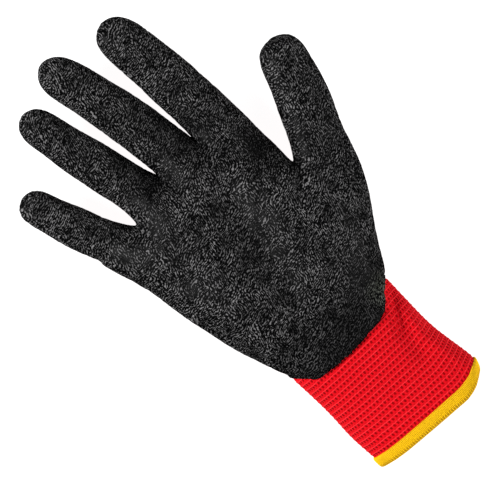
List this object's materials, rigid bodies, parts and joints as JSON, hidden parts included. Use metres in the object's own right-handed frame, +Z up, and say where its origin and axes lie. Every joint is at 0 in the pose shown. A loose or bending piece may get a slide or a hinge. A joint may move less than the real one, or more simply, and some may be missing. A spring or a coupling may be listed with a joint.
{
  "type": "latex coated grip glove",
  "caption": "Knitted work glove with a crinkled latex coating over the palm side and fingertips, a ribbed cuff and an overlocked edge, lying palm up in the form of a hand.",
  "frame": {"origin": "middle of the flat patch under the back of the hand, on the surface that the glove rests on", "axes": "+Y from the cuff to the fingertips, +Z up out of the palm side, +X towards the thumb"},
  "size_m": [0.1541, 0.2578, 0.0372],
  "materials": {
    "red_knit": "fine plain knit, matt",
    "red_rib": "elastic knit with raised cords across it, matt",
    "yellow_thread": "close overlock stitches, matt",
    "black_latex": "crinkled, half gloss"
  },
  "bodies": {
    "root": {"knit_hand": "red_knit", "knit_thumb": "red_knit", "knit_index_finger": "red_knit", "knit_middle_finger": "red_knit", "knit_ring_finger": "red_knit", "knit_little_finger": "red_knit", "ribbed_cuff": "red_rib", "cuff_hem": "yellow_thread", "latex_coating": "black_latex"}
  },
  "joints": []
}
